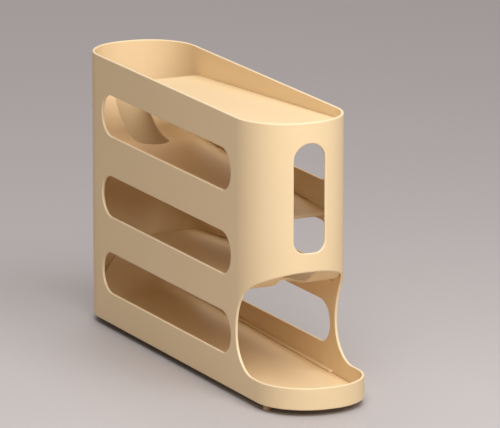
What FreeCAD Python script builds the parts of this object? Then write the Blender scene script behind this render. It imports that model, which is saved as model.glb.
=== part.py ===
import FreeCAD, Part
import math
import os

# Egg storage container: a tall round-ended sleeve with four ramps in it, one above another. Each ramp slopes
# the opposite way to the one below it, so what is laid on the top ramp rolls to and fro, drops from ramp to
# ramp at their open ends, and stops in the tray at the foot of the front.
# Lengths are in millimetres and angles in degrees. X runs across, Y from the front to the back and Z up. The
# origin is on the floor, under the middle of the whole plan.

# Shell, a single moulding
width = 85.0                # across the outside
end_flat = 5.0              # flat left in the middle of each rounded end
tower_length = 332.0        # the tall part, front to back
tray_reach = 36.0           # the tray, in front of the tall part
wall = 2.2
tray_rim = 17.0             # rim of the tray above the shell's lower edge
edge_round = 0.8            # rounding of the rims and of the edges of every opening

# Lanes, measured at the middle of the tall part, from the top of one ramp to the top of the next
tray_floor = 2.4            # tray floor above the shell's lower edge, at the front of the tray
low_lane = 64.3
middle_lane = 62.2
high_lane = 61.3
rim_above_top_ramp = 15.1

# Ramps
ramp_thickness = 2.2
ramp_slope = 3.3
base_slope = 1.5
ramp_clearance = 0.3        # all round, between a ramp and the inside of the shell
drop_gap = 48.0             # between the open end of a ramp and the end wall that it faces
scoop_radius = 50.0         # the turned-up end that catches what drops from the ramp above
base_scoop_radius = 36.0    # the same on the base ramp
notch_width = 26.0          # gap in the middle of a scoop, in line with the front window
notch_reach = 62.0          # from the end wall to the bottom of that gap
ramp_corner = 6.0           # rounding of the corners at a ramp's open end

# Seats of the ramps on the inside of the shell
ledge_width = 2.5
ledge_thickness = 2.0
ledge_end_gap = 4.0         # from the end of a ledge to the ramp's open end, or to the round end
nub_radius = 1.2            # small round ridges that snap over the edge of a fixed ramp
nub_length = 10.0
nub_count = 3               # on each side of a ramp
nub_play = 0.15

# Slots through both side walls
slot_height = 32.5
low_sill = 17.4             # lower edge of a slot above the ramp it shows, at the middle of the tall part
middle_sill = 14.3
high_sill = 16.3
pillar = 8.8                # wall left between the mouth and the slots beside it

# Mouth over the tray, seen from the side
mouth_past_end = 0.4        # how far the mouth runs back past the round end of the tall part
mouth_low_radius = 28.0
mouth_upright = 3.0
mouth_high_radius = 45.0
arch_slope = 28.0           # rise of the arch towards the front

# Window in the front of the tall part
window_width = 26.2
window_height = 83.5
window_drop = 0.7           # how far its middle lies below the middle of the wall between arch and rim
window_corner = 9.0         # rounding of its lower corners

# Feet, stuck into shallow recesses under the base ramp
foot_stand = 5.0            # floor to the shell's lower edge
foot_diameter = 6.0
foot_angle = 8.0            # from the start of the tray's rounded end to a front foot, about its centre
rear_foot_inset = 18.0      # from the inside of a side wall to the middle of a rear foot
foot_edge = 0.6             # rounding of a foot's lower edge
recess_depth = 0.8
recess_play = 0.15
recess_skin = 0.55          # between the recess and the base ramp's outer edge
boss_wall = 1.4             # round the rest of the recess

over = 5.0                  # how far a cutting shape runs past what it cuts
smooth_angle = 20.0         # faces that meet at less than this run smoothly into each other
touching = 0.001            # places closer than this are the same place

# Plan and heights worked out from the sizes above
half_width = width / 2
end_round = half_width - end_flat / 2
inner_half = half_width - wall
tray_front = -(tower_length + tray_reach) / 2
tower_front = tray_front + tray_reach
back = tower_front + tower_length
tower_middle = (tower_front + back) / 2
straight_front = tower_front + end_round
straight_back = back - end_round

shell_bottom = foot_stand
base_rise = math.tan(math.radians(base_slope)) * (tower_middle - tray_front - wall)
base_middle = shell_bottom + tray_floor + base_rise
third_middle = base_middle + low_lane
second_middle = third_middle + middle_lane
top_middle = second_middle + high_lane
rim = top_middle + rim_above_top_ramp

ramp_depth = ramp_thickness / math.cos(math.radians(ramp_slope))
base_depth = ramp_thickness / math.cos(math.radians(base_slope))
mouth_bottom = shell_bottom + tray_rim
mouth_back = straight_front + mouth_past_end
mouth_widest = mouth_bottom + mouth_low_radius + mouth_upright
open_end = back - wall - drop_gap
recess_radius = foot_diameter / 2 + recess_play


def point(x, y, z):
    return FreeCAD.Vector(x, y, z)


def line(start, end):
    return Part.LineSegment(start, end).toShape()


def arc(centre, radius, start_angle, end_angle, plane):
    """Arc about a centre, angles in degrees, in the plane that the two given directions span."""
    across, upward = plane
    points = []
    for angle in (start_angle, (start_angle + end_angle) / 2, end_angle):
        turn = math.radians(angle)
        points.append(centre + across * (radius * math.cos(turn)) + upward * (radius * math.sin(turn)))
    return Part.Arc(*points).toShape()


flat_plane = (point(1, 0, 0), point(0, 1, 0))
side_plane = (point(0, 1, 0), point(0, 0, 1))
front_plane = (point(1, 0, 0), point(0, 0, 1))


def join(edges):
    """Face inside the edges, with straight edges put in wherever one edge ends short of the next."""
    closed = []
    for edge, following in zip(edges, edges[1:] + edges[:1]):
        closed.append(edge)
        end = edge.Vertexes[-1].Point
        start = following.Vertexes[0].Point
        if end.distanceToPoint(start) > touching:
            closed.append(line(end, start))
    return Part.Face(Part.Wire(closed))


def upright_prism(front, rear, side, corner, low, high):
    """Upright prism whose plan is a rectangle with rounded corners."""
    across = side - corner
    corners = [
        arc(point(across, rear - corner, low), corner, 0, 90, flat_plane),
        arc(point(-across, rear - corner, low), corner, 90, 180, flat_plane),
        arc(point(-across, front + corner, low), corner, 180, 270, flat_plane),
        arc(point(across, front + corner, low), corner, 270, 360, flat_plane),
    ]
    return join(corners).extrude(point(0, 0, high - low))


def plan_prism(front, inset, low, high):
    """Upright prism of the shell's plan, from a front place to the back, drawn in all round by an inset."""
    return upright_prism(front + inset, back - inset, half_width - inset, end_round - inset, low, high)


def through_sides(face):
    """Prism of a side-view face, drawn at the middle plane, that runs past both side walls."""
    reach = half_width + over
    face.translate(point(-reach, 0, 0))
    return face.extrude(point(2 * reach, 0, 0))


def ramp_height(middle, slope, y):
    """Top of a ramp at a place along it; a positive slope rises towards the back."""
    return middle + math.tan(math.radians(slope)) * (y - tower_middle)


def side_slot(ramp_middle, sill):
    radius = slot_height / 2
    height = ramp_middle + sill + radius
    front = mouth_back + pillar + radius
    rear = back - (mouth_back + pillar - tower_front) - radius
    ends = [
        arc(point(0, rear, height), radius, -90, 90, side_plane),
        arc(point(0, front, height), radius, 90, 270, side_plane),
    ]
    return through_sides(join(ends))


def mouth_and_arch():
    """The mouth's cutting shape, and the height of the arch at the front of the tall part."""
    turn = 90 - arch_slope
    low_arc = arc(point(0, mouth_back - mouth_low_radius, mouth_bottom + mouth_low_radius),
                  mouth_low_radius, -90, 0, side_plane)
    high_arc = arc(point(0, mouth_back - mouth_high_radius, mouth_widest),
                   mouth_high_radius, 0, turn, side_plane)
    arch_start = high_arc.Vertexes[-1].Point
    rise = math.tan(math.radians(arch_slope))
    ahead = tray_front - over
    front_top = arch_start.z + rise * (arch_start.y - ahead)
    front_edge = line(point(0, ahead, front_top), point(0, ahead, mouth_bottom))
    arch_height = arch_start.z + rise * (arch_start.y - tower_front)
    return through_sides(join([low_arc, high_arc, front_edge])), arch_height


def front_window(arch_height):
    side = window_width / 2
    sill = (arch_height + rim - window_height) / 2 - window_drop
    shoulder = sill + window_height - side
    corner = sill + window_corner
    ahead = tower_front - over
    edges = [
        arc(point(window_corner - side, ahead, corner), window_corner, 180, 270, front_plane),
        arc(point(side - window_corner, ahead, corner), window_corner, 270, 360, front_plane),
        arc(point(0, ahead, shoulder), side, 0, 180, front_plane),
    ]
    return join(edges).extrude(point(0, over + end_round / 2, 0))


def ledges(middle, slope, front, rear, drop):
    """A pair of ribs along the side walls; their upper faces lie a drop below the top of the ramp."""
    outline = [(front, drop), (rear, drop), (rear, drop + ledge_thickness), (front, drop + ledge_thickness)]
    corners = [point(0, y, ramp_height(middle, slope, y) - depth) for y, depth in outline]
    face = Part.Face(Part.makePolygon(corners + corners[:1]))
    pair = []
    for side in (-1, 1):
        rib = face.copy()
        rib.translate(point(side * (inner_half - ledge_width), 0, 0))
        pair.append(rib.extrude(point(side * (ledge_width + wall / 2), 0, 0)))
    return pair


def nubs(middle, slope, front, rear, rise):
    """Round ridges along the side walls, their axes a rise above the top of the ramp."""
    turn = math.radians(slope)
    along = point(0, math.cos(turn), math.sin(turn))
    ridges = []
    for index in range(nub_count):
        y = front + (rear - front) * (index + 0.5) / nub_count
        start = point(0, y, ramp_height(middle, slope, y) + rise) - along * (nub_length / 2)
        for side in (-1, 1):
            on_wall = start + point(side * inner_half, 0, 0)
            ridges.append(Part.makeCylinder(nub_radius, nub_length, on_wall, along))
    return ridges


def ramp_seats():
    """Ledges and snap nubs for all four ramps."""
    low_front = straight_front + ledge_end_gap
    low_rear = straight_back - ledge_end_gap
    rear_end = open_end - ledge_end_gap
    front_end = tower_front + back - rear_end
    above = nub_radius + nub_play
    below = base_depth + above
    seats = ledges(top_middle, -ramp_slope, low_front, rear_end, ramp_depth)
    seats += ledges(second_middle, ramp_slope, front_end, low_rear, ramp_depth)
    seats += ledges(third_middle, -ramp_slope, low_front, rear_end, ramp_depth)
    seats += ledges(base_middle, base_slope, low_front, low_rear, -ledge_thickness)
    seats += nubs(second_middle, ramp_slope, front_end, low_rear, above)
    seats += nubs(third_middle, -ramp_slope, low_front, rear_end, above)
    seats += nubs(base_middle, base_slope, low_front, low_rear, -below)
    return seats


def sharp_edges(shape):
    """Edges where two faces meet at an angle, without the seams where one runs smoothly into another."""
    found = []
    for edge in shape.Edges:
        middle = edge.valueAt((edge.FirstParameter + edge.LastParameter) / 2)
        normals = []
        for face in shape.ancestorsOfType(edge, Part.Face):
            normals.append(face.normalAt(*face.Surface.parameter(middle)))
        if normals[0].getAngle(normals[-1]) > math.radians(smooth_angle):
            found.append(edge)
    return found


def sleeve():
    """Walls of the tall part and of the tray, before anything is cut in them."""
    under = shell_bottom - over
    body = plan_prism(tower_front, 0, shell_bottom, rim)
    body = body.fuse(plan_prism(tray_front, 0, shell_bottom, mouth_widest))
    body = body.cut(plan_prism(tower_front, wall, under, rim + over))
    return body.cut(plan_prism(tray_front, wall, under, mouth_widest))


def outer_shell():
    mouth, arch_height = mouth_and_arch()
    openings = [
        mouth,
        front_window(arch_height),
        side_slot(base_middle, low_sill),
        side_slot(third_middle, middle_sill),
        side_slot(second_middle, high_sill),
    ]
    body = sleeve().cut(openings).removeSplitter()
    body = body.makeFillet(edge_round, sharp_edges(body))
    return body.fuse([seat.cut(openings) for seat in ramp_seats()]).removeSplitter()


def ramp_plan(front):
    """Upright prism that a ramp has to stay inside, clear of the shell all round."""
    return plan_prism(front, wall + ramp_clearance, 0, rim + over)


def round_open_end(ramp, y):
    """The ramp with its two corners at the open end rounded; they are the upright edges at that place."""
    corners = []
    for edge in ramp.Edges:
        box = edge.BoundBox
        at_end = abs(box.YMin - y) + abs(box.YMax - y) < touching
        if at_end and box.XLength < touching:
            corners.append(edge)
    return ramp.makeFillet(ramp_corner, corners)


def plain_ramp(middle):
    """Flat ramp that falls towards the back, with its open end there."""
    reach = tower_front - over
    top = line(point(0, reach, ramp_height(middle, -ramp_slope, reach)),
               point(0, open_end, ramp_height(middle, -ramp_slope, open_end)))
    down = point(0, 0, -ramp_depth)
    under = line(top.Vertexes[1].Point + down, top.Vertexes[0].Point + down)
    plate = through_sides(join([top, under])).common(ramp_plan(tower_front))
    return round_open_end(plate, open_end)


def scooped(middle, slope, radius, front, far_end):
    """Ramp that falls from a turned-up front end to a cut-off far end, not yet trimmed to its plan."""
    outer = radius + ramp_thickness
    turn = math.radians(slope)
    start_y = front + wall + ramp_clearance + outer
    tangent_y = start_y - radius * math.sin(turn)
    centre = point(0, start_y, ramp_height(middle, -slope, tangent_y) + radius * math.cos(turn))
    inner_arc = arc(centre, radius, 180, 270 - slope, side_plane)
    outer_arc = arc(centre, outer, 270 - slope, 180, side_plane)
    top_end = ramp_height(middle, -slope, far_end)
    depth = ramp_thickness / math.cos(turn)
    end_edge = line(point(0, far_end, top_end), point(0, far_end, top_end - depth))
    return through_sides(join([inner_arc, end_edge, outer_arc]))


def scooped_ramp(middle):
    """Ramp that falls towards the back from a notched scoop at the front wall."""
    plate = scooped(middle, ramp_slope, scoop_radius, tower_front, open_end).common(ramp_plan(tower_front))
    plate = round_open_end(plate, open_end)
    notch = upright_prism(tower_front - over - notch_width, tower_front + wall + notch_reach,
                          notch_width / 2, notch_width / 2, 0, rim + over)
    return plate.cut(notch).removeSplitter()


def turned_ramp(middle):
    """The same moulding turned end for end, so that it falls towards the front."""
    ramp = scooped_ramp(middle)
    ramp.rotate(point(0, tower_middle, 0), point(0, 0, 1), 180)
    return ramp


def foot_places():
    reach = end_round - wall - ramp_clearance - recess_skin - recess_radius
    front_side = half_width - end_round + reach * math.cos(math.radians(foot_angle))
    front = tray_front + end_round - reach * math.sin(math.radians(foot_angle))
    rear_side = inner_half - rear_foot_inset
    return {
        "foot_front_left": (-front_side, front),
        "foot_front_right": (front_side, front),
        "foot_rear_left": (-rear_side, straight_back),
        "foot_rear_right": (rear_side, straight_back),
    }


def base_ramp():
    """Floor of the shell, falling to the tray, with a plain scoop at the back and bosses for the feet."""
    far_end = 2 * tower_middle - tray_front + over
    plate = scooped(base_middle, base_slope, base_scoop_radius, tower_front, far_end)
    plate.rotate(point(0, tower_middle, 0), point(0, 0, 1), 180)
    plan = ramp_plan(tray_front)
    plate = plate.common(plan)
    for x, y in foot_places().values():
        boss_height = ramp_height(base_middle, base_slope, y) - base_depth / 2 - shell_bottom
        boss = Part.makeCylinder(recess_radius + boss_wall, boss_height, point(x, y, shell_bottom))
        plate = plate.fuse(boss.common(plan))
    for x, y in foot_places().values():
        plate = plate.cut(Part.makeCylinder(recess_radius, recess_depth, point(x, y, shell_bottom)))
    return plate.removeSplitter()


def foot(x, y):
    pad = Part.makeCylinder(foot_diameter / 2, foot_stand + recess_depth, point(x, y, 0))
    lower_edges = [edge for edge in pad.Edges if edge.BoundBox.ZMax < touching]
    return pad.makeFillet(foot_edge, lower_edges)


def main():
    os.makedirs("parts", exist_ok=True)
    pieces = {
        "outer_shell": outer_shell(),
        "top_ramp": plain_ramp(top_middle),
        "second_ramp": turned_ramp(second_middle),
        "third_ramp": scooped_ramp(third_middle),
        "base_ramp": base_ramp(),
    }
    for name, (x, y) in foot_places().items():
        pieces[name] = foot(x, y)
    for name, shape in pieces.items():
        shape.exportStep("parts/" + name + ".step")
        box = shape.optimalBoundingBox()
        sizes = [round(length, 2) for length in (box.XLength, box.YLength, box.ZLength)]
        print(name, len(shape.Solids), "solid", shape.isValid(), round(shape.Volume), "mm3", sizes)


main()
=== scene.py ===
"""Looks of an egg storage container: a round-ended sleeve, four ramps inside it and four small feet.

The wall and the ramps are mouldings of even thickness. Each is drawn as half of a flat pattern with rounded
edges, and a node tree bends the pattern to its shape and mirrors it. Lengths are in metres and angles in
degrees. X runs across, Y from the front to the back and Z up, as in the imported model.
"""
import logging
import math
from abc import ABC, abstractmethod
from collections.abc import Iterable, Sequence
from dataclasses import dataclass, field
from enum import Enum

import bmesh
import bpy
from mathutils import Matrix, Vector
from mathutils.geometry import delaunay_2d_cdt
from mathutils.kdtree import KDTree


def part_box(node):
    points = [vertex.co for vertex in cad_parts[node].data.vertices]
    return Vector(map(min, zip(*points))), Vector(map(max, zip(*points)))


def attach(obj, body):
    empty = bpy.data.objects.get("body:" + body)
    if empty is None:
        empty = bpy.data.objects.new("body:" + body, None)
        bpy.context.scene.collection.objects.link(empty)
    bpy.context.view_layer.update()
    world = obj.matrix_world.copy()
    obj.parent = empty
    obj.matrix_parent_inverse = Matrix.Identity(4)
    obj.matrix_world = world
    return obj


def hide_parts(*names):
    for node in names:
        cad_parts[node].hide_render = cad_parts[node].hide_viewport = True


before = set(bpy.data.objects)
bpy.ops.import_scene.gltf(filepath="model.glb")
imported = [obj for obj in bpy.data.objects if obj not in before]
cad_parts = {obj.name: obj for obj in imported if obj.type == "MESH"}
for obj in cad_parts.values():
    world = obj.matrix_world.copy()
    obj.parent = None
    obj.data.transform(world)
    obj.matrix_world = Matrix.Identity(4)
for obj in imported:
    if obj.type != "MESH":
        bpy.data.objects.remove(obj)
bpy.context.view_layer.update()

MM = 0.001
SAME_PLACE = 0.001 * MM
MERGE_DISTANCE = 0.01 * MM
NOISE_MEAN = 0.5
ROUND_PROFILE = 0.5
RIM = "rim"

log = logging.getLogger("container")

Colour = tuple[int, int, int]
Place = tuple[float, float]
Point = tuple[float, float, float]


class Body(Enum):
    """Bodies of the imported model."""

    SHELL = "shell"
    LIFT_OUT = "lift_out_ramp"


class Slot(Enum):
    """Material slots of the record."""

    SHELL = "shell_plastic"
    RAMP = "ramp_plastic"
    FOOT = "foot_rubber"


class OpenEnd(Enum):
    """Shape of the end of a ramp from which things roll off."""

    SQUARE = "square with rounded corners"
    ROUND = "round, like the tray"


class FarEnd(Enum):
    """Shape of the high end of a ramp, which lies against an end wall."""

    FLAT = "flat and round"
    SCOOP = "turned up"
    NOTCHED_SCOOP = "turned up, with a gap in its middle"


class Rise(Enum):
    """Way along Y in which a ramp rises from its open end."""

    TO_FRONT = -1.0
    TO_BACK = 1.0


def put_in_scene(name: str, data: bpy.types.ID) -> bpy.types.Object:
    """Adds an object to the scene.

    Args:
        name: The object's name.
        data: Its mesh, lamp or camera.

    Returns:
        The object.
    """
    thing = bpy.data.objects.new(name, data)
    bpy.context.scene.collection.objects.link(thing)
    return thing


# Node trees


class Wire:
    """A socket that gives something; Python's operators on a number add Math nodes."""

    def __init__(self, tree: "Tree", socket: bpy.types.NodeSocket | None) -> None:
        """Keeps the tree and the socket, which a node without outputs lacks."""
        self.tree = tree
        self.socket = socket

    def __add__(self, other: "Wire | float") -> "Wire":
        """Sum."""
        return self.tree.maths("ADD", self, other)

    def __sub__(self, other: "Wire | float") -> "Wire":
        """Difference."""
        return self.tree.maths("SUBTRACT", self, other)

    def __rsub__(self, other: float) -> "Wire":
        """Difference from a plain number."""
        return self.tree.maths("SUBTRACT", other, self)

    def __mul__(self, other: "Wire | float") -> "Wire":
        """Product."""
        return self.tree.maths("MULTIPLY", self, other)

    def __truediv__(self, other: "Wire | float") -> "Wire":
        """Quotient."""
        return self.tree.maths("DIVIDE", self, other)

    def __rtruediv__(self, other: float) -> "Wire":
        """Quotient of a plain number."""
        return self.tree.maths("DIVIDE", other, self)

    __radd__ = __add__
    __rmul__ = __mul__

    def at_least(self, low: "Wire | float") -> "Wire":
        """The larger of the two."""
        return self.tree.maths("MAXIMUM", self, low)

    def at_most(self, high: "Wire | float") -> "Wire":
        """The smaller of the two."""
        return self.tree.maths("MINIMUM", self, high)

    def below(self, limit: "Wire | float") -> "Wire":
        """1 where this is below the limit, and 0 elsewhere."""
        return self.tree.maths("LESS_THAN", self, limit)

    def sin(self) -> "Wire":
        """Sine of an angle in radians."""
        return self.tree.maths("SINE", self)

    def cos(self) -> "Wire":
        """Cosine of an angle in radians."""
        return self.tree.maths("COSINE", self)


class Tree:
    """Adds nodes to a node tree."""

    def __init__(self, nodes: bpy.types.NodeTree) -> None:
        """Keeps the tree that the nodes go into."""
        self.nodes = nodes

    @staticmethod
    def pick(sockets: Iterable[bpy.types.NodeSocket], key: str | int) -> bpy.types.NodeSocket:
        """Finds a socket.

        Args:
            sockets: Inputs or outputs of a node.
            key: The socket's identifier, or its number where identifiers say little.

        Returns:
            The socket.
        """
        if isinstance(key, int):
            return sockets[key]
        return next(socket for socket in sockets if socket.identifier == key)

    def add(self, kind: str, settings: dict[str, object] | None = None,
            sockets: dict[str | int, object] | None = None, give: str | int = 0) -> Wire:
        """Adds a node.

        Args:
            kind: Blender's name for the type of node.
            settings: The node's own settings, which are made first.
            sockets: Plain values or wires for its inputs.
            give: The output that is wanted.

        Returns:
            A wire from that output.
        """
        node = self.nodes.nodes.new(kind)
        for name, value in (settings or {}).items():
            setattr(node, name, value)
        for key, value in (sockets or {}).items():
            self.plug(self.pick(node.inputs, key), value)
        return Wire(self, self.pick(node.outputs, give) if node.outputs else None)

    def plug(self, socket: bpy.types.NodeSocket, value: object) -> None:
        """Gives an input what it takes.

        Args:
            socket: The input.
            value: A wire, several wires or a plain value.
        """
        wires = value if isinstance(value, list) else [value]
        for one in wires:
            if isinstance(one, Wire):
                self.nodes.links.new(one.socket, socket)
            else:
                socket.default_value = one

    def maths(self, operation: str, *terms: "Wire | float") -> Wire:
        """Adds a Math node on one or two terms."""
        return self.add("ShaderNodeMath", {"operation": operation}, dict(enumerate(terms)))

    def blend(self, share: Wire, first: object, second: object) -> Wire:
        """Mixes two colours, the second by its share."""
        sockets = {"Factor_Float": share, "A_Color": first, "B_Color": second}
        return self.add("ShaderNodeMix", {"data_type": "RGBA"}, sockets, "Result_Color")


class ShapeTree(Tree):
    """A Geometry Nodes tree with named inputs, whose result becomes a plain mesh."""

    def __init__(self, name: str) -> None:
        """Starts a tree with an input for the geometry that it works on and one for its material.

        Args:
            name: The tree's name.
        """
        super().__init__(bpy.data.node_groups.new(name, "GeometryNodeTree"))
        self.identifiers: dict[str, str] = {}
        self.entry = self.nodes.nodes.new("NodeGroupInput")
        self.nodes.interface.new_socket("Shape", in_out="OUTPUT", socket_type="NodeSocketGeometry")
        self.given = self.ask("Given", "Geometry")
        self.material = self.ask("Material", "Material")

    def ask(self, name: str, kind: str = "Float") -> Wire:
        """Adds a named input.

        Args:
            name: The input's name.
            kind: Its kind, such as Float, Int or Vector.

        Returns:
            A wire from the input.
        """
        item = self.nodes.interface.new_socket(name, in_out="INPUT", socket_type="NodeSocket" + kind)
        self.identifiers[name] = item.identifier
        return Wire(self, self.pick(self.entry.outputs, item.identifier))

    def place_parts(self) -> tuple[Wire, Wire, Wire]:
        """X, Y and Z of each point."""
        place = self.add("GeometryNodeInputPosition")
        return tuple(self.add("ShaderNodeSeparateXYZ", None, {"Vector": place}, axis) for axis in "XYZ")

    def move_points(self, x: Wire, y: Wire, z: Wire) -> Wire:
        """The given geometry with its points at other places."""
        place = self.add("ShaderNodeCombineXYZ", None, {"X": x, "Y": y, "Z": z})
        return self.add("GeometryNodeSetPosition", None, {"Geometry": self.given, "Position": place})

    def close(self, half: Wire) -> None:
        """Ends the tree: mirrors the half, joins the two where they meet and gives them their material.

        Args:
            half: The geometry on one side of the middle plane.
        """
        other = self.add("GeometryNodeTransform", None, {"Geometry": half, "Scale": (-1.0, 1.0, 1.0)})
        both = self.add("GeometryNodeJoinGeometry", None, {"Geometry": [half, other]})
        real = self.add("GeometryNodeRealizeInstances", None, {"Geometry": both})
        whole = self.add("GeometryNodeMergeByDistance", None, {"Geometry": real, "Distance": MERGE_DISTANCE})
        dressed = self.add("GeometryNodeSetMaterial", None, {"Geometry": whole, "Material": self.material})
        self.add("NodeGroupOutput", None, {0: dressed})

    def shape(self, given: bpy.types.Mesh, inputs: dict[str, object]) -> bpy.types.Mesh:
        """Runs the tree.

        Args:
            given: The mesh that the tree works on, which is used up.
            inputs: Values of the tree's named inputs.

        Returns:
            The result as a plain mesh.
        """
        carrier = put_in_scene(given.name, given)
        modifier = carrier.modifiers.new(self.nodes.name, "NODES")
        modifier.node_group = self.nodes
        for name, value in inputs.items():
            modifier[self.identifiers[name]] = value
        graph = bpy.context.evaluated_depsgraph_get()
        made = bpy.data.meshes.new_from_object(
            carrier.evaluated_get(graph), preserve_all_data_layers=True, depsgraph=graph)
        bpy.data.objects.remove(carrier)
        bpy.data.meshes.remove(given)
        return made


class WallBend(ShapeTree):
    """Bends the wall's pattern round half of the plan: the back, a straight side and the front."""

    def __init__(self) -> None:
        """Builds the tree; the pattern's X runs along the wall, Y is depth from outside and Z is height."""
        super().__init__("bend_wall_round_plan")
        radius = self.ask("Corner Radius")
        flat = self.ask("End Flat Half")
        back_centre = self.ask("Back Centre")
        tall_run = self.ask("Tall Part Straight")
        tray_run = self.ask("Tray Straight")
        tray_top = self.ask("Tray Below")
        along, depth, height = self.place_parts()
        quarter = radius * (math.pi / 2)
        straight = tall_run + (tray_run - tall_run) * height.below(tray_top)
        past_flat = along - flat
        past_corner = past_flat - quarter
        past_side = past_corner - straight
        run = past_corner.at_least(0.0).at_most(straight)
        first_turn = past_flat.at_least(0.0).at_most(quarter)
        turn = (first_turn + past_side.at_least(0.0).at_most(quarter)) / radius
        reach = radius - depth
        across = along.at_most(flat) - (past_side - quarter).at_least(0.0) + reach * turn.sin()
        self.close(self.move_points(across, back_centre - run + reach * turn.cos(), height))


class RampBend(ShapeTree):
    """Lays a ramp's pattern on its slope and turns its high end up round the scoop."""

    def __init__(self) -> None:
        """Builds the tree; the pattern's X runs across, Y is depth from the top and Z runs up the ramp."""
        super().__init__("bend_ramp_to_scoop")
        end_place = self.ask("Open End Place")
        end_height = self.ask("Open End Height")
        heading = self.ask("Heading")
        slope = self.ask("Slope")
        flat_run = self.ask("Flat Run")
        radius = self.ask("Scoop Radius")
        across, depth, along = self.place_parts()
        run = along.at_most(flat_run)
        turn = slope + (along - flat_run).at_least(0.0) / radius
        arm = radius + depth
        forward = run * slope.cos() - radius * slope.sin() + arm * turn.sin()
        rise = run * slope.sin() + radius * slope.cos() - arm * turn.cos()
        self.close(self.move_points(across, end_place + heading * forward, end_height + rise))


class WallRow(ShapeTree):
    """Repeats a small shape in a row along one side wall, and mirrors the row to the other."""

    def __init__(self) -> None:
        """Builds the tree."""
        super().__init__("row_along_both_walls")
        start = self.ask("Start", "Vector")
        step = self.ask("Step", "Vector")
        count = self.ask("Count", "Int")
        tilt = self.ask("Tilt")
        places = self.add("GeometryNodeMeshLine", None,
                          {"Count": count, "Start Location": start, "Offset": step})
        tilted = self.add("ShaderNodeCombineXYZ", None, {"X": tilt})
        self.close(self.add("GeometryNodeInstanceOnPoints", None,
                            {"Points": places, "Instance": self.given, "Rotation": tilted}))

    def row(self, given: bpy.types.Mesh, material: bpy.types.Material, start: Point, tilt: float = 0.0,
            step: Point = (0.0, 0.0, 0.0), count: int = 1) -> bpy.types.Mesh:
        """Runs the tree on a small shape about the origin; tilt is its turn about X, in radians."""
        inputs = {"Material": material, "Start": start, "Step": step, "Count": count, "Tilt": tilt}
        return self.shape(given, inputs)


# Finishes


def linear(colour: Colour) -> tuple[float, float, float, float]:
    """Turns a colour as the eye sees it into what a shader takes, by the standard sRGB curve.

    Args:
        colour: Red, green and blue, 0 to 255.

    Returns:
        The linear parts, with full alpha.
    """
    shares = [value / 255 for value in colour]
    parts = [share / 12.92 if share <= 0.04045 else ((share + 0.055) / 1.055) ** 2.4 for share in shares]
    return (*parts, 1.0)


class Paint(Tree):
    """The node tree of one material."""

    def __init__(self, name: str) -> None:
        """Starts a material with nothing but its shader.

        Args:
            name: The material's name.
        """
        self.material = bpy.data.materials.new(name)
        self.material.use_nodes = True
        super().__init__(self.material.node_tree)
        self.shader = self.nodes.nodes["Principled BSDF"]
        self.place = self.add("ShaderNodeTexCoord", None, None, "Object")

    def noise(self, size: float, detail: float = 2.0) -> Wire:
        """Soft random patches, 0 to 1, of about a size in metres."""
        sockets = {"Vector": self.place, "Scale": 1.0 / size, "Detail": detail}
        return self.add("ShaderNodeTexNoise", {"noise_dimensions": "3D"}, sockets, "Fac")

    def set(self, socket: str, value: object) -> None:
        """Gives one input of the shader a wire or a plain value."""
        self.plug(self.pick(self.shader.inputs, socket), value)


@dataclass(frozen=True)
class Finish(ABC):
    """What a surface looks like."""

    name: str
    colour: Colour

    def material(self) -> bpy.types.Material:
        """Builds the material.

        Returns:
            The material.
        """
        paint = Paint(self.name)
        self.apply(paint)
        return paint.material

    @abstractmethod
    def apply(self, paint: Paint) -> None:
        """Gives the material's shader what it takes."""


@dataclass(frozen=True)
class MouldedPlastic(Finish):
    """Satin plastic from a mould: faint clouds of colour, fine grain, smoother rims and a painted highlight
    that makes the rims paler.
    """

    cloud_colour: Colour
    # Colour of the painted highlight on the rounded rims.
    rim_highlight_colour: Colour
    roughness: float = 0.5
    roughness_spread: float = 0.12
    rim_polish: float = 0.1
    cloud_size: float = 60 * MM
    smear_size: float = 14 * MM
    smear_detail: float = 4.0
    grain_size: float = 0.7 * MM
    grain_depth: float = 0.03 * MM
    grain_strength: float = 0.25

    def apply(self, paint: Paint) -> None:
        """Wires up clouds, smears and grain, paints a highlight on the rims and makes them smoother.

        Args:
            paint: The material's node tree.
        """
        rim = paint.add("ShaderNodeAttribute", {"attribute_name": RIM}, None, "Fac")
        clouds = paint.blend(paint.noise(self.cloud_size), linear(self.colour), linear(self.cloud_colour))
        # Painted highlight: the rims turn paler where the rim weight is high.
        paint.set("Base Color", paint.blend(rim, clouds, linear(self.rim_highlight_colour)))
        smears = paint.noise(self.smear_size, self.smear_detail) - NOISE_MEAN
        paint.set("Roughness", smears * self.roughness_spread + self.roughness - rim * self.rim_polish)
        grain = {"Height": paint.noise(self.grain_size), "Strength": self.grain_strength,
                 "Distance": self.grain_depth}
        paint.set("Normal", paint.add("ShaderNodeBump", None, grain, "Normal"))


@dataclass(frozen=True)
class SoftRubber(Finish):
    """Matt rubber with a little dust on it."""

    dust_colour: Colour
    roughness: float = 0.75
    dust_roughness: float = 0.2
    dust_size: float = 1.5 * MM
    dust_detail: float = 5.0
    dust_depth: float = 0.05 * MM

    def apply(self, paint: Paint) -> None:
        """Wires up dust that changes colour, roughness and height together.

        Args:
            paint: The material's node tree.
        """
        dust = paint.noise(self.dust_size, self.dust_detail)
        paint.set("Base Color", paint.blend(dust, linear(self.colour), linear(self.dust_colour)))
        paint.set("Roughness", dust * self.dust_roughness + self.roughness)
        bump = {"Height": dust, "Distance": self.dust_depth}
        paint.set("Normal", paint.add("ShaderNodeBump", None, bump, "Normal"))


@dataclass(frozen=True)
class FloorPaint(Finish):
    """Plain pale floor with a faint sheen."""

    roughness: float = 0.45
    roughness_spread: float = 0.05
    patch_size: float = 300 * MM

    def apply(self, paint: Paint) -> None:
        """Wires up one colour and an uneven sheen."""
        paint.set("Base Color", linear(self.colour))
        paint.set("Roughness", paint.noise(self.patch_size) * self.roughness_spread + self.roughness)


# Flat patterns


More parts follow.
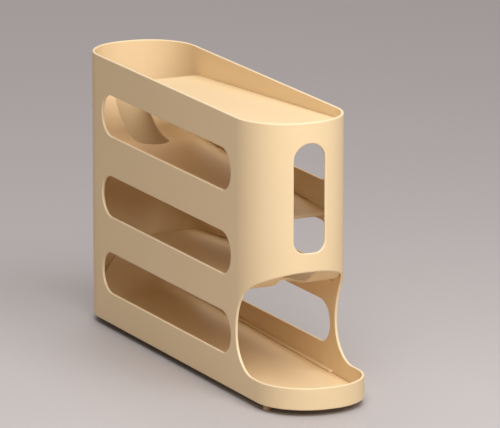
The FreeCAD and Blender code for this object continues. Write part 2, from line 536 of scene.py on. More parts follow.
def line(start: Place, end: Place, step: float) -> list[Vector]:
    """Places on a straight line, its ends included, no further apart than the step."""
    count = max(1, math.ceil(math.dist(start, end) / step))
    return [Vector(start).lerp(Vector(end), index / count) for index in range(count + 1)]


def stops(start: float, end: float, step: float) -> list[float]:
    """Numbers from one to another, both included, no further apart than the step."""
    return [place.x for place in line((start, 0.0), (end, 0.0), step)]


def grid(across: Iterable[float], heights: Sequence[float]) -> list[Vector]:
    """Places where columns and rows cross."""
    return [Vector((x, height)) for x in across for height in heights]


def arc(centre: Place, radius: float, start: float, end: float, step: float) -> list[Vector]:
    # The rim colours below are painted highlights on the rounded edges, paler than the plastic.
    """Places on an arc, its ends included.

    Args:
        centre: The arc's centre.
        radius: Its radius.
        start: Angle where it starts, in degrees.
        end: Angle where it ends, in degrees.
        step: The furthest that two places may be apart.

    Returns:
        The places, from start to end.
    """
    count = max(1, math.ceil(math.radians(abs(end - start)) * radius / step))
    turns = [math.radians(start + (end - start) * index / count) for index in range(count + 1)]
    return [Vector(centre) + radius * Vector((math.cos(turn), math.sin(turn))) for turn in turns]


def joined(*runs: Sequence[Vector]) -> list[Vector]:
    """Joins several lines of places.

    Args:
        runs: The lines, in order.

    Returns:
        One line, without a place that only repeats the one before it.
    """
    places: list[Vector] = []
    for run in runs:
        for place in run:
            if not places or (place - places[-1]).length > SAME_PLACE:
                places.append(place)
    return places


@dataclass
class PatternEdge:
    """An edge of a flat pattern, with the material on its left; an open one ends on the mirror line."""

    places: list[Vector]
    closed: bool = False

    def inward(self, index: int) -> Vector:
        """Direction into the material at one place.

        Args:
            index: The place's number.

        Returns:
            The direction, as long as keeps a moved edge parallel.
        """
        last = len(self.places) - 1
        before = self.places[index] - self.places[index - 1]
        after = self.places[(index + 1) % len(self.places)] - self.places[index]
        if not self.closed and index in (0, last):
            ahead = after if index == 0 else before
            return Vector((0.0, math.copysign(1.0, ahead.x)))
        first = Vector((-before.y, before.x)).normalized()
        second = Vector((-after.y, after.x)).normalized()
        return (first + second) / (1.0 + first.dot(second))

    def moved(self, distance: float) -> list[Vector]:
        """The edge's places, moved into the material."""
        return [place + self.inward(index) * distance for index, place in enumerate(self.places)]

    def encloses(self, place: Vector) -> bool:
        """Tells whether a place lies inside this closed edge.

        Args:
            place: The place.

        Returns:
            True where it does.
        """
        inside = False
        for one, other in zip(self.places, self.places[1:] + self.places[:1]):
            if (one.y > place.y) != (other.y > place.y):
                share = (place.y - one.y) / (other.y - one.y)
                inside ^= one.x + share * (other.x - one.x) > place.x
        return inside


@dataclass
class FlatPattern:
    """A sheet of even thickness with rounded edges, before it is bent. Its front face is at Y 0."""

    edges: list[PatternEdge]
    spread: list[Vector]
    thickness: float
    edge_round: float
    round_steps: int = 4
    flat_margin: float = 0.6 * MM
    clear: float = 1.6 * MM

    def rounding(self) -> list[tuple[float, float, float]]:
        """Lines that go round an edge, from the front face to the back face.

        Returns:
            Inset, depth and rim weight of each line.
        """
        radius = self.edge_round
        lines = [(radius + self.flat_margin, 0.0, 0.0)]
        for step in range(self.round_steps + 1):
            turn = math.pi / 2 * step / self.round_steps
            inset = radius - radius * math.sin(turn)
            depth = radius - radius * math.cos(turn)
            lines.append((inset, depth, math.sin(turn)))
        behind = [(inset, self.thickness - depth, rim) for inset, depth, rim in reversed(lines)]
        return lines + behind

    def round_edge(self, sheet: bmesh.types.BMesh, edge: PatternEdge) -> None:
        """Adds the faces that go round one edge.

        Args:
            sheet: The mesh that is being made.
            edge: The edge.
        """
        weight = sheet.verts.layers.float[RIM]
        rows = []
        for inset, depth, rim in self.rounding():
            row = [sheet.verts.new((place.x, depth, place.y)) for place in edge.moved(inset)]
            for vert in row:
                vert[weight] = rim
            rows.append(row + row[:1] if edge.closed else row)
        for row, following in zip(rows, rows[1:]):
            for index in range(len(row) - 1):
                sheet.faces.new((row[index], row[index + 1], following[index + 1], following[index]))

    def triangles(self) -> tuple[list[Vector], list[Sequence[int]]]:
        """Cuts the flat face, inside the lines where the rounding starts, into triangles.

        Returns:
            The corners, and the numbers of each triangle's three corners.
        """
        inset = self.edge_round + self.flat_margin
        outline = joined(*[edge.moved(inset) for edge in self.edges if not edge.closed])
        holes = [PatternEdge(edge.moved(inset), True) for edge in self.edges if edge.closed]
        places: list[Vector] = []
        links: list[tuple[int, int]] = []
        for loop in [outline] + [hole.places for hole in holes]:
            first = len(places)
            places += loop
            links += [(first + index, first + (index + 1) % len(loop)) for index in range(len(loop))]
        near = KDTree(len(places))
        for index, place in enumerate(places):
            near.insert(place.to_3d(), index)
        near.balance()
        places += [place for place in self.spread if near.find(place.to_3d())[2] > self.clear]
        corners, _, triangles, *_ = delaunay_2d_cdt(places, links, [], 1, SAME_PLACE)
        kept = []
        for triangle in triangles:
            middle = sum((corners[index] for index in triangle), Vector((0.0, 0.0))) / 3
            if not any(hole.encloses(middle) for hole in holes):
                kept.append(triangle)
        return corners, kept

    def cover(self, sheet: bmesh.types.BMesh) -> None:
        """Adds the front and back faces.

        Args:
            sheet: The mesh that is being made.
        """
        corners, triangles = self.triangles()
        for depth in (0.0, self.thickness):
            verts = [sheet.verts.new((corner.x, depth, corner.y)) for corner in corners]
            for triangle in triangles:
                sheet.faces.new([verts[index] for index in triangle])

    def mesh(self, name: str) -> bpy.types.Mesh:
        """Builds the pattern's mesh.

        Args:
            name: The mesh's name.

        Returns:
            The mesh.
        """
        sheet = bmesh.new()
        sheet.verts.layers.float.new(RIM)
        for edge in self.edges:
            self.round_edge(sheet, edge)
        self.cover(sheet)
        bmesh.ops.delete(sheet, geom=[vert for vert in sheet.verts if not vert.link_faces], context="VERTS")
        return mesh_of(sheet, name)


def mesh_of(shape: bmesh.types.BMesh, name: str) -> bpy.types.Mesh:
    """Turns a shape that is being edited into a mesh, and frees it.

    Args:
        shape: The shape.
        name: The mesh's name.

    Returns:
        The mesh.
    """
    mesh = bpy.data.meshes.new(name)
    shape.to_mesh(mesh)
    shape.free()
    return mesh


def add_piece(name: str, meshes: Sequence[bpy.types.Mesh], body: Body,
              nodes: Sequence[str] = ()) -> bpy.types.Object:
    """Puts a finished piece into the scene.

    Args:
        name: The piece's name.
        meshes: The meshes that it is made of, all with the same material, which are used up.
        body: The body that it moves with.
        nodes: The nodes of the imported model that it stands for.

    Returns:
        The piece.
    """
    shape = bmesh.new()
    material = next(found for found in meshes[0].materials if found)
    for mesh in meshes:
        shape.from_mesh(mesh)
        bpy.data.meshes.remove(mesh)
    bmesh.ops.remove_doubles(shape, verts=shape.verts, dist=SAME_PLACE)
    bmesh.ops.recalc_face_normals(shape, faces=shape.faces)
    for face in shape.faces:
        face.smooth = True
        face.material_index = 0
    piece = put_in_scene(name, mesh_of(shape, name))
    piece.data.materials.append(material)
    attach(piece, body.value)
    if nodes:
        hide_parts(*nodes)
    log.info("%s: %d faces, rides on %s", name, len(piece.data.polygons), body.value)
    return piece


# The shell


@dataclass
class Shell:
    """The outer moulding: sleeve, tray, side slots, front window and the mouth over the tray."""

    material: bpy.types.Material
    wall: float = 2.2 * MM
    end_flat: float = 5.0 * MM
    edge_round: float = 0.8 * MM
    tray_reach: float = 36.0 * MM
    tray_rim: float = 17.0 * MM
    slot_height: float = 32.5 * MM
    slot_sills: tuple[float, float, float] = (25.0 * MM, 86.2 * MM, 150.4 * MM)
    pillar: float = 8.8 * MM
    mouth_past_end: float = 0.4 * MM
    mouth_low_radius: float = 28.0 * MM
    mouth_upright: float = 3.0 * MM
    mouth_high_radius: float = 45.0 * MM
    arch_slope: float = 28.0
    window_width: float = 26.2 * MM
    window_height: float = 83.5 * MM
    window_drop: float = 0.7 * MM
    window_corner: float = 9.0 * MM
    end_steps: int = 24
    straight_step: float = 10.0 * MM
    row_step: float = 8.0 * MM
    tray_row_step: float = 4.0 * MM
    curve_step: float = 1.6 * MM
    bottom: float = field(init=False)
    rim: float = field(init=False)
    inner_half: float = field(init=False)
    end_round: float = field(init=False)
    back: float = field(init=False)
    tower_front: float = field(init=False)
    straight_back: float = field(init=False)
    straight_front: float = field(init=False)
    tray_centre: float = field(init=False)

    def __post_init__(self) -> None:
        """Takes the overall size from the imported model."""
        low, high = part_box("outer_shell")
        self.bottom = low.z
        self.rim = high.z
        self.inner_half = high.x - self.wall
        self.end_round = high.x - self.flat_half
        self.back = high.y
        self.tower_front = low.y + self.tray_reach
        self.straight_back = self.back - self.end_round
        self.straight_front = self.tower_front + self.end_round
        self.tray_centre = low.y + self.end_round

    @property
    def flat_half(self) -> float:
        """Half of the flat in the middle of an end."""
        return self.end_flat / 2

    @property
    def quarter(self) -> float:
        """Length of the wall round one rounded corner of the plan."""
        return math.pi / 2 * self.end_round

    @property
    def side_start(self) -> float:
        """Place along the wall, from the middle of the back, where the straight side starts."""
        return self.flat_half + self.quarter

    @property
    def tall_bend(self) -> float:
        """Place along the wall where the tall part's front end starts to bend."""
        return self.side_start + self.straight_back - self.straight_front

    @property
    def tray_bend(self) -> float:
        """Place along the wall where the tray's end starts to bend."""
        return self.side_start + self.straight_back - self.tray_centre

    @property
    def front_flat(self) -> float:
        """Place along the wall where the flat in the middle of the tall part's front starts."""
        return self.tall_bend + self.quarter

    @property
    def mouth_bottom(self) -> float:
        """Height of the tray's rim."""
        return self.bottom + self.tray_rim

    @property
    def mouth_widest(self) -> float:
        """Height at which the mouth reaches furthest back."""
        return self.mouth_bottom + self.mouth_low_radius + self.mouth_upright

    @property
    def mouth_back(self) -> float:
        """Place Y to which the mouth reaches back."""
        return self.straight_front + self.mouth_past_end

    def along_tall(self, y: float) -> float:
        """Place along the wall of the tall part.

        Args:
            y: Place Y on the wall's outside.

        Returns:
            The place, measured from the middle of the back.
        """
        ahead = self.straight_front - y
        if ahead <= 0.0:
            return self.side_start + self.straight_back - y
        return self.tall_bend + self.end_round * math.asin(min(1.0, ahead / self.end_round))

    def along_front(self, x: float) -> float:
        """Place along the wall of the tall part's front.

        Args:
            x: Distance across from the middle of the front.

        Returns:
            The place, measured from the middle of the back.
        """
        past_flat = x - self.flat_half
        if past_flat <= 0.0:
            return self.front_flat - past_flat
        return self.front_flat - self.end_round * math.asin(past_flat / self.end_round)

    def columns(self, front_bend: float) -> list[float]:
        """Places along the wall that its bends need.

        Args:
            front_bend: Place at which the front end starts to bend.

        Returns:
            The places, from the middle of the back to the middle of the front.
        """
        bends = [self.quarter * index / self.end_steps for index in range(self.end_steps + 1)]
        back_end = [0.0] + [self.flat_half + bend for bend in bends]
        side = stops(self.side_start, front_bend, self.straight_step)
        front_end = [front_bend + bend for bend in bends] + [front_bend + self.side_start]
        return back_end + side[1:-1] + front_end

    def bottom_edge(self) -> PatternEdge:
        """Lower edge, from the back to the front of the tray."""
        return PatternEdge(grid(self.columns(self.tray_bend), [self.bottom]))

    def top_edge(self) -> PatternEdge:
        """Upper rim, from the front to the back."""
        return PatternEdge(grid(reversed(self.columns(self.tall_bend)), [self.rim]))

    def arch(self) -> list[Vector]:
        """The mouth's upper edge.

        Returns:
            Its places, from where it reaches furthest back to the middle of the front.
        """
        centre = (self.mouth_back - self.mouth_high_radius, self.mouth_widest)
        bow = arc(centre, self.mouth_high_radius, 0.0, 90.0 - self.arch_slope, self.curve_step)
        places = [Vector((self.along_tall(place.x), place.y)) for place in bow]
        start = bow[-1]
        for along in stops(self.along_tall(start.x), self.front_flat, self.curve_step):
            turn = (along - self.tall_bend) / self.end_round
            ahead = start.x - self.straight_front + self.end_round * math.sin(turn)
            height = start.y + math.tan(math.radians(self.arch_slope)) * ahead
            places.append(Vector((along, height)))
        return places + [Vector((self.front_flat + self.flat_half, places[-1].y))]

    def mouth_edge(self) -> PatternEdge:
        """Rim of the tray, back edge of the mouth and arch.

        Returns:
            The edge, from the front of the tray to the middle of the tall part's front.
        """
        centre_along = self.along_tall(self.mouth_back) + self.mouth_low_radius
        tray = [along for along in reversed(self.columns(self.tray_bend)) if along > centre_along]
        centre = (centre_along, self.mouth_bottom + self.mouth_low_radius)
        corner = arc(centre, self.mouth_low_radius, 270.0, 180.0, self.curve_step)
        return PatternEdge(joined(grid(tray, [self.mouth_bottom]), corner, self.arch()))

    def window_edge(self) -> PatternEdge:
        """Half of the window.

        Returns:
            The edge, from the middle of its sill to the middle of its top.
        """
        side = self.window_width / 2
        sill = (self.arch()[-1].y + self.rim - self.window_height) / 2 - self.window_drop
        corner = (side - self.window_corner, sill + self.window_corner)
        shoulder = sill + self.window_height - side
        outline = joined(
            line((0.0, sill), (corner[0], sill), self.curve_step),
            arc(corner, self.window_corner, -90.0, 0.0, self.curve_step),
            line((side, corner[1]), (side, shoulder), self.row_step),
            arc((0.0, shoulder), side, 0.0, 90.0, self.curve_step),
        )
        return PatternEdge([Vector((self.along_front(place.x), place.y)) for place in outline])

    def slot_edge(self, sill: float) -> PatternEdge:
        """One side slot.

        Args:
            sill: Height of its lower edge above the shell's.

        Returns:
            The slot's closed edge.
        """
        radius = self.slot_height / 2
        height = self.bottom + sill + radius
        margin = self.mouth_back + self.pillar - self.tower_front + radius
        front = self.along_tall(self.tower_front + margin)
        rear = self.along_tall(self.back - margin)
        outline = joined(
            line((front, height - radius), (rear, height - radius), self.straight_step),
            arc((rear, height), radius, 270.0, 90.0, self.curve_step),
            line((rear, height + radius), (front, height + radius), self.straight_step),
            arc((front, height), radius, 90.0, -90.0, self.curve_step),
        )
        return PatternEdge(outline[:-1], True)

    def pattern(self) -> FlatPattern:
        """Half of the wall laid flat.

        Returns:
            The pattern, from the middle of the back to the middle of the front.
        """
        edges = [self.bottom_edge(), self.mouth_edge(), self.window_edge(), self.top_edge()]
        edges += [self.slot_edge(sill) for sill in self.slot_sills]
        tall = grid(self.columns(self.tall_bend), stops(self.bottom, self.rim, self.row_step))
        spread = [place for place in tall if place.x <= self.tall_bend or place.y > self.mouth_widest]
        ahead = [along for along in self.columns(self.tray_bend) if along > self.tall_bend]
        spread += grid(ahead, stops(self.bottom, self.mouth_bottom, self.tray_row_step))
        return FlatPattern(edges, spread, self.wall, self.edge_round)

    def build(self, bend: WallBend) -> bpy.types.Object:
        """Makes the shell.

        Args:
            bend: The tree that bends its wall.

        Returns:
            The piece.
        """
        inputs = {
            "Material": self.material,
            "Corner Radius": self.end_round,
            "End Flat Half": self.flat_half,
            "Back Centre": self.straight_back,
            "Tall Part Straight": self.straight_back - self.straight_front,
            "Tray Straight": self.straight_back - self.tray_centre,
            "Tray Below": self.mouth_widest,
        }
        mesh = bend.shape(self.pattern().mesh("shell_pattern"), inputs)
        return add_piece("shell_moulding", [mesh], Body.SHELL, ["outer_shell"])


# The ramps


@dataclass
class Ramp:
    """A plate on a slope inside the shell; one end is open and the other lies against an end wall."""

    node: str
    shell: Shell
    material: bpy.types.Material
    far_end: FarEnd
    rise: Rise
    slope: float = 3.3
    open_end: OpenEnd = OpenEnd.SQUARE
    body: Body = Body.SHELL
    thickness: float = 2.2 * MM
    clearance: float = 0.3 * MM
    edge_round: float = 0.6 * MM
    open_corner: float = 6.0 * MM
    scoop_radius: float = 50.0 * MM
    scoop_top_width: float = 12.0 * MM
    notch_width: float = 26.0 * MM
    notch_reach: float = 62.0 * MM
    horn_round: float = 3.0 * MM
    tray_floor: float = 2.4 * MM
    flat_step: float = 12.0 * MM
    across_step: float = 6.0 * MM
    curve_step: float = 2.0 * MM
    edge_step: float = 1.0 * MM
    horn_step: float = 0.67 * MM
    end_place: float = field(init=False)
    end_height: float = field(init=False)

    def __post_init__(self) -> None:
        """Takes the open end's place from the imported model; the tray's floor has a height of its own."""
        low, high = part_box(self.node)
        self.end_place = low.y if self.rise is Rise.TO_BACK else high.y
        if self.open_end is OpenEnd.ROUND:
            self.end_height = self.shell.bottom + self.tray_floor
        else:
            self.end_height = low.z + self.thickness / math.cos(self.turn)

    @property
    def turn(self) -> float:
        """The slope in radians."""
        return math.radians(self.slope)

    @property
    def tilt(self) -> float:
        """The ramp's turn about X, in radians."""
        return self.turn * self.rise.value

    @property
    def half_width(self) -> float:
        """Half of the ramp's width."""
        return self.shell.inner_half - self.clearance

    @property
    def corner(self) -> float:
        """Rounding of the ramp's plan where it lies against an end wall."""
        return self.shell.end_round - self.shell.wall - self.clearance

    @property
    def end_centre(self) -> float:
        """Distance from the open end to where the end wall starts to bend.

        Returns:
            The level distance.
        """
        to_back = self.rise is Rise.TO_BACK
        wall_centre = self.shell.straight_back if to_back else self.shell.straight_front
        return abs(wall_centre - self.end_place)

    @property
    def reach(self) -> float:
        """Distance from the open end to the far end's tip."""
        return self.end_centre + self.corner

    @property
    def scoop_centre(self) -> float:
        """Distance from the open end to the centre of the scoop."""
        return self.reach - self.scoop_radius - self.thickness

    @property
    def flat_run(self) -> float:
        """Length of the flat stretch, along the slope.

        Returns:
            The length, or one past the far end where the ramp has no scoop.
        """
        if self.far_end is FarEnd.FLAT:
            return 2 * self.reach
        return (self.scoop_centre + self.scoop_radius * math.sin(self.turn)) / math.cos(self.turn)

    def height_at(self, y: float) -> float:
        """Height of the upper face of the flat stretch at a place Y."""
        return self.end_height + math.tan(self.tilt) * (y - self.end_place)

    def height_beside(self, y: float, gap: float, over: bool) -> float:
        """Height at a gap over the flat stretch's upper face, or else under its lower face, at a place Y."""
        lift = gap if over else -gap - self.thickness / math.cos(self.turn)
        return self.height_at(y) + lift

    def along(self, forward: float) -> float:
        """Length along the ramp, on the outside of the scoop.

        Args:
            forward: Level distance from the open end.

        Returns:
            The length from the open end.
        """
        outer = self.scoop_radius + self.thickness
        bend = math.asin(max(-1.0, min(1.0, (forward - self.scoop_centre) / outer)))
        if self.far_end is FarEnd.FLAT or bend <= self.turn:
            return min(forward / math.cos(self.turn), self.flat_run)
        return self.flat_run + self.scoop_radius * (bend - self.turn)

    def open_edge(self) -> list[Vector]:
        """Edge of the open end.

        Returns:
            Its places, from the middle to the side.
        """
        radius = self.corner if self.open_end is OpenEnd.ROUND else self.open_corner
        centre = (self.half_width - radius, radius)
        return joined(
            line((0.0, 0.0), (centre[0], 0.0), self.flat_step),
            arc(centre, radius, -90.0, 0.0, self.edge_step),
        )

    def wall_edge(self) -> list[Vector]:
        """Edge along the end wall.

        Returns:
            Its places, from the side to the middle.
        """
        centre = (self.half_width - self.corner, self.end_centre)
        places = arc(centre, self.corner, 0.0, 90.0, self.edge_step)
        places.append(Vector((0.0, self.reach)))
        return [Vector((place.x, self.along(place.y))) for place in places]

    def notch(self, edge: list[Vector]) -> list[Vector]:
        """Cuts the gap in the middle of a scoop.

        Args:
            edge: Edge along the end wall, from the side to the middle.

        Returns:
            The edge, with its end turned round a horn and back along the gap.
        """
        side = self.notch_width / 2
        horn_centre = side + self.horn_round
        for index in range(1, len(edge)):
            ahead = (edge[index] - edge[index - 1]).normalized()
            inward = Vector((-ahead.y, ahead.x))
            centre = edge[index] + inward * self.horn_round
            if centre.x <= horn_centre:
                break
        start = math.degrees(math.atan2(-inward.y, -inward.x))
        horn = arc((horn_centre, centre.y), self.horn_round, start, 180.0, self.horn_step)
        round_centre = self.reach + self.clearance - self.notch_reach + side
        bottom = arc((0.0, round_centre), side, 0.0, -90.0, self.edge_step)
        gap = [Vector((place.x, self.along(place.y))) for place in bottom]
        return joined(edge[:index], horn, line(horn[-1], gap[0], self.curve_step), gap)

    def far_edge(self) -> list[Vector]:
        """Edge of the far end.

        Returns:
            Its places, from the side to the middle.
        """
        edge = self.wall_edge()
        if self.far_end is FarEnd.FLAT:
            return edge
        if self.far_end is FarEnd.NOTCHED_SCOOP:
            return self.notch(edge)
        kept = [place for place in edge if place.x > self.scoop_top_width / 2]
        return joined(kept, line(kept[-1], (0.0, kept[-1].y), self.curve_step))

    def pattern(self) -> FlatPattern:
        """Half of the ramp laid flat.

        Returns:
            The pattern, from its middle to its side.
        """
        start = self.open_edge()
        end = self.far_edge()
        edge = PatternEdge(joined(start, line(start[-1], end[0], self.flat_step), end))
        tip = self.along(self.reach)
        level = min(self.flat_run, tip)
        rows = stops(0.0, level, self.flat_step)
        if level < tip:
            rows += stops(level, tip, self.curve_step)[1:]
        spread = grid(stops(0.0, self.half_width, self.across_step), rows)
        return FlatPattern([edge], spread, self.thickness, self.edge_round)

    def build(self, bend: RampBend) -> bpy.types.Object:
        """Makes the ramp.

        Args:
            bend: The tree that bends it.

        Returns:
            The piece.
        """
        inputs = {
            "Material": self.material,
            "Open End Place": self.end_place,
            "Open End Height": self.end_height,
            "Heading": self.rise.value,
            "Slope": self.turn,
            "Flat Run": self.flat_run,
            "Scoop Radius": self.scoop_radius,
        }
        mesh = bend.shape(self.pattern().mesh(self.node + "_pattern"), inputs)
        return add_piece(self.node + "_plate", [mesh], self.body, [self.node])


# Small shapes along the walls


def rounded_bar(size: Point, corner: float, segments: int) -> bpy.types.Mesh:
    """A bar with rounded edges, about the origin.

    Args:
        size: Its size along X, Y and Z.
        corner: Rounding of its edges.
        segments: Faces round an edge.

    Returns:
        The bar's mesh.
    """
    bar = bmesh.new()
    bmesh.ops.create_cube(bar, size=1.0)
    bmesh.ops.scale(bar, vec=size, verts=bar.verts)
    bmesh.ops.bevel(bar, geom=list(bar.edges), offset=corner, segments=segments, profile=ROUND_PROFILE,
                    affect="EDGES")
    return mesh_of(bar, "bar")


def turned(profile: Sequence[Place], steps: int = 40) -> bpy.types.Mesh:
    """A round shape about the Z axis.

    Args:
        profile: Radius and height at each step of its outline.
        steps: Faces round the axis.

    Returns:
        The shape's mesh.
    """
    shape = bmesh.new()
    turns = [2 * math.pi * index / steps for index in range(steps)]
    rings = []
    for radius, height in profile:
        places = [(radius * math.cos(turn), radius * math.sin(turn), height) for turn in turns]
        rings.append([shape.verts.new(place) for place in places])
    for ring, following in zip(rings, rings[1:]):
        for index in range(steps):
            after = (index + 1) % steps
            shape.faces.new((ring[index], ring[after], following[after], following[index]))
    shape.faces.new(rings[0])
    shape.faces.new(rings[-1])
    return mesh_of(shape, "turned")


@dataclass
class Seats:
    """Ledges along the side walls that carry the ramps, and ridges that snap over the fixed ramps' edges."""

    shell: Shell
    material: bpy.types.Material
    ledge_width: float = 2.5 * MM
    ledge_thickness: float = 2.0 * MM
    ledge_round: float = 0.5 * MM
    ledge_segments: int = 3
    end_gap: float = 4.0 * MM
    nub_radius: float = 1.2 * MM
    nub_length: float = 10.0 * MM
    nub_count: int = 3
    nub_play: float = 0.15 * MM
    nub_fullness: float = 0.95
    nub_segments: int = 5
    touch_gap: float = 0.02 * MM

    def span(self, ramp: Ramp) -> tuple[float, float]:
        """Stretch of the side walls that a ramp's ledges take up.

        Args:
            ramp: The ramp.

        Returns:
            Places Y where it starts and ends.
        """
        front = self.shell.straight_front
        rear = self.shell.straight_back
        if ramp.open_end is OpenEnd.SQUARE and ramp.rise is Rise.TO_BACK:
            front = ramp.end_place
        if ramp.open_end is OpenEnd.SQUARE and ramp.rise is Rise.TO_FRONT:
            rear = ramp.end_place
        return front + self.end_gap, rear - self.end_gap

    def ledge(self, rows: WallRow, ramp: Ramp, over: bool) -> bpy.types.Mesh:
        """The two ledges of a ramp.

        Args:
            rows: The tree that repeats shapes along the walls.
            ramp: The ramp.
            over: True for ledges over the ramp, not under it.

        Returns:
            The ledges' mesh.
        """
        front, rear = self.span(ramp)
        middle = (front + rear) / 2
        height = ramp.height_beside(middle, self.ledge_thickness / 2 + self.touch_gap, over)
        depth = self.ledge_width + self.shell.wall / 2
        size = (depth, (rear - front) / math.cos(ramp.turn), self.ledge_thickness)
        start = (self.shell.inner_half - self.ledge_width + depth / 2, middle, height)
        bar = rounded_bar(size, self.ledge_round, self.ledge_segments)
        return rows.row(bar, self.material, start, ramp.tilt)

    def nubs(self, rows: WallRow, ramp: Ramp, over: bool) -> bpy.types.Mesh:
        """The ridges along a ramp's two edges.

        Args:
            rows: The tree that repeats shapes along the walls.
            ramp: The ramp.
            over: True for ridges over the ramp, not under it.

        Returns:
            The ridges' mesh.
        """
        front, rear = self.span(ramp)
        pitch = (rear - front) / self.nub_count
        first = front + pitch / 2
        height = ramp.height_beside(first, self.nub_radius + self.nub_play, over)
        start = (self.shell.inner_half, first, height)
        step = (0.0, pitch, ramp.height_at(first + pitch) - ramp.height_at(first))
        size = (2 * self.nub_radius, self.nub_length, 2 * self.nub_radius)
        ridge = rounded_bar(size, self.nub_fullness * self.nub_radius, self.nub_segments)
        return rows.row(ridge, self.material, start, ramp.tilt, step, self.nub_count)

    def build(self, rows: WallRow, ramps: Sequence[Ramp]) -> None:
        """Makes the ledges of all ramps as one piece and the ridges of the fixed ramps as another.

        Args:
            rows: The tree that repeats shapes along the walls.
            ramps: All ramps.
        """
        lowest = [ramp for ramp in ramps if ramp.open_end is OpenEnd.ROUND]
        fixed = [ramp for ramp in ramps if ramp.body is Body.SHELL]
        ledges = [self.ledge(rows, ramp, ramp in lowest) for ramp in ramps]
        add_piece("ramp_ledges", ledges, Body.SHELL)
        ridges = [self.nubs(rows, ramp, ramp not in lowest) for ramp in fixed]
        add_piece("ramp_snap_ridges", ridges, Body.SHELL)


@dataclass
class Feet:
    """Four round feet and the bosses under the lowest ramp that hold them."""

    shell: Shell
    rubber: bpy.types.Material
    plastic: bpy.types.Material
    lower_round: float = 0.6 * MM
    round_step: float = 0.15 * MM
    dimple: float = 0.25 * MM
    dimple_shoulder: float = 0.7
    tip_radius: float = 0.1 * MM
    recess_play: float = 0.15 * MM
    boss_wall: float = 0.8 * MM
    boss_round: float = 0.3 * MM
    nodes: tuple[str, ...] = ("foot_front_left", "foot_front_right", "foot_rear_left", "foot_rear_right")

    def place(self, node: str) -> Point:
        """Middle of a foot's lower face."""
        low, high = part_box(node)
        return ((low.x + high.x) / 2, (low.y + high.y) / 2, low.z)

    def foot(self) -> bpy.types.Mesh:
        """One foot, standing on the origin, slightly hollow under its middle.

        Returns:
            The foot's mesh.
        """
        low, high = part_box(self.nodes[0])
        radius = (high.x - low.x) / 2
        centre = (radius - self.lower_round, self.lower_round)
        bend = arc(centre, self.lower_round, -90.0, 0.0, self.round_step)
        hollow = [(self.tip_radius, self.dimple), (radius / 2, self.dimple * self.dimple_shoulder)]
        return turned([*hollow, *bend, (radius, high.z - low.z)])

    def boss(self, ramp: Ramp, node: str) -> bpy.types.Mesh:
        """The boss that holds a foot, from the shell's lower edge up into the ramp.

        Args:
            ramp: The ramp over the foot.
            node: The foot's node.

        Returns:
            The boss's mesh, over the origin.
        """
        low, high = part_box(node)
        inner = (high.x - low.x) / 2 + self.recess_play
        outer = inner + self.boss_wall
        top = ramp.height_at(self.place(node)[1]) - ramp.thickness / 2 - low.z
        bottom = self.shell.bottom - low.z
        profile = [(inner, high.z - low.z), (inner, bottom), (outer - self.boss_round, bottom),
                   (outer, bottom + self.boss_round), (outer, top)]
        return turned(profile)

    def build(self, rows: WallRow, lowest: Ramp) -> None:
        """Makes the feet as one piece and their bosses as another.

        Args:
            rows: The tree that mirrors what stands on the right to the left.
            lowest: The ramp over the feet.
        """
        right = [node for node in self.nodes if node.endswith("right")]
        feet = [rows.row(self.foot(), self.rubber, self.place(node)) for node in right]
        add_piece("rubber_feet", feet, Body.SHELL, self.nodes)
        bosses = [rows.row(self.boss(lowest, node), self.plastic, self.place(node)) for node in right]
        add_piece("foot_bosses", bosses, Body.SHELL)


# The studio


def face(thing: bpy.types.Object, target: Point, azimuth: float, elevation: float, distance: float) -> None:
    """Puts a lamp or camera where it faces a place.

    Args:
        thing: The lamp or camera.
        target: The place that it faces.
        azimuth: Its turn round that place, to the right from straight in front, in degrees.
        elevation: Its angle above level, in degrees.
        distance: How far from the place it is.
    """
    side = math.radians(azimuth)
    up = math.radians(elevation)
    back = Vector((math.sin(side) * math.cos(up), -math.cos(side) * math.cos(up), math.sin(up)))
    thing.location = Vector(target) + back * distance
    thing.rotation_euler = back.to_track_quat("Z", "Y").to_euler()


@dataclass(frozen=True)
class SoftLight:
    """A square studio lamp that faces the object."""

    name: str
    azimuth: float
    elevation: float
    distance: float
    size: float
    power: float

    def place(self, target: Point) -> None:
        """Puts the lamp in the scene.

        Args:
            target: Place that the lamp faces.
        """
        lamp = bpy.data.lights.new(self.name, "AREA")
        lamp.shape = "SQUARE"
        lamp.size = self.size
        lamp.energy = self.power
        face(put_in_scene(self.name, lamp), target, self.azimuth, self.elevation, self.distance)


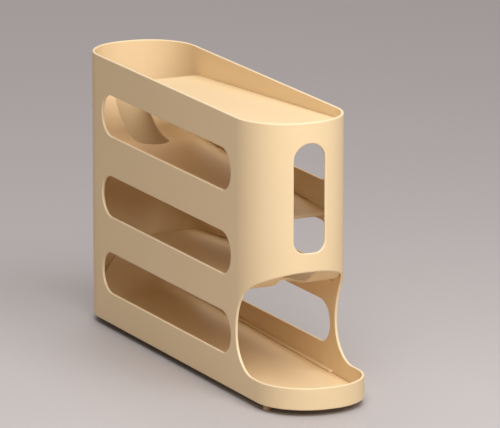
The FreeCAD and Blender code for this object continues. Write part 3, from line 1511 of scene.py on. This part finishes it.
@dataclass(frozen=True)
class Studio:
    """Floor, light and camera."""

    target: Point = (12.27 * MM, -18.0 * MM, 117.13 * MM)
    azimuth: float = -25.53
    elevation: float = 13.3
    distance: float = 4.789
    lens: float = 452.5
    floor_size: float = 30.0
    floor: FloorPaint = FloorPaint("pale_floor", (188, 183, 182))
    sky: Colour = (255, 240, 236)
    sky_strength: float = 0.24
    lights: tuple[SoftLight, ...] = (
        SoftLight("key_light", azimuth=-6.0, elevation=48.0, distance=1.3, size=1.3, power=21.8),
        SoftLight("back_light", azimuth=170.0, elevation=55.0, distance=4.0, size=3.5, power=60.0),
    )

    def place_camera(self) -> None:
        """Puts the camera where the photograph was taken from."""
        camera = put_in_scene("camera", bpy.data.cameras.new("camera"))
        camera.data.lens = self.lens
        face(camera, self.target, self.azimuth, self.elevation, self.distance)
        bpy.context.scene.camera = camera

    def place_floor(self) -> None:
        """Puts a plain floor under the object."""
        sheet = bmesh.new()
        bmesh.ops.create_grid(sheet, x_segments=1, y_segments=1, size=self.floor_size / 2)
        floor = put_in_scene("floor", mesh_of(sheet, "floor"))
        floor.data.materials.append(self.floor.material())

    def place_light(self) -> None:
        """Lights the scene from an even sky and from soft lamps."""
        world = bpy.data.worlds.new("sky")
        world.use_nodes = True
        sky = world.node_tree.nodes["Background"]
        sky.inputs["Color"].default_value = linear(self.sky)
        sky.inputs["Strength"].default_value = self.sky_strength
        bpy.context.scene.world = world
        for light in self.lights:
            light.place(self.target)

    def build(self) -> None:
        """Sets up everything round the object."""
        self.place_floor()
        self.place_light()
        self.place_camera()
        bpy.context.scene.view_settings.view_transform = "Standard"


def main() -> None:
    """Builds the container piece by piece, then the studio round it."""
    logging.basicConfig(level=logging.INFO, format="%(message)s")
    cream = MouldedPlastic("cream_shell_plastic", colour=(240, 214, 170), cloud_colour=(237, 209, 163),
                           rim_highlight_colour=(246, 224, 186)).material()
    ramp_cream = MouldedPlastic("cream_ramp_plastic", colour=(239, 212, 167), cloud_colour=(235, 205, 158),
                                rim_highlight_colour=(245, 222, 183)).material()
    rubber = SoftRubber("cream_foot_rubber", colour=(205, 176, 133), dust_colour=(190, 166, 130)).material()
    shell = Shell(cream)
    top = Ramp("top_ramp", shell, ramp_cream, FarEnd.FLAT, Rise.TO_FRONT, body=Body.LIFT_OUT)
    second = Ramp("second_ramp", shell, ramp_cream, FarEnd.NOTCHED_SCOOP, Rise.TO_BACK)
    third = Ramp("third_ramp", shell, ramp_cream, FarEnd.NOTCHED_SCOOP, Rise.TO_FRONT)
    base = Ramp("base_ramp", shell, ramp_cream, FarEnd.SCOOP, Rise.TO_BACK,
                slope=1.5, open_end=OpenEnd.ROUND, scoop_radius=36.0 * MM)
    ramps = [top, second, third, base]
    shell.build(WallBend())
    ramp_bend = RampBend()
    for ramp in ramps:
        ramp.build(ramp_bend)
    rows = WallRow()
    Seats(shell, cream).build(rows, ramps)
    Feet(shell, rubber, ramp_cream).build(rows, base)
    Studio().build()


if __name__ == "__main__":
    main()
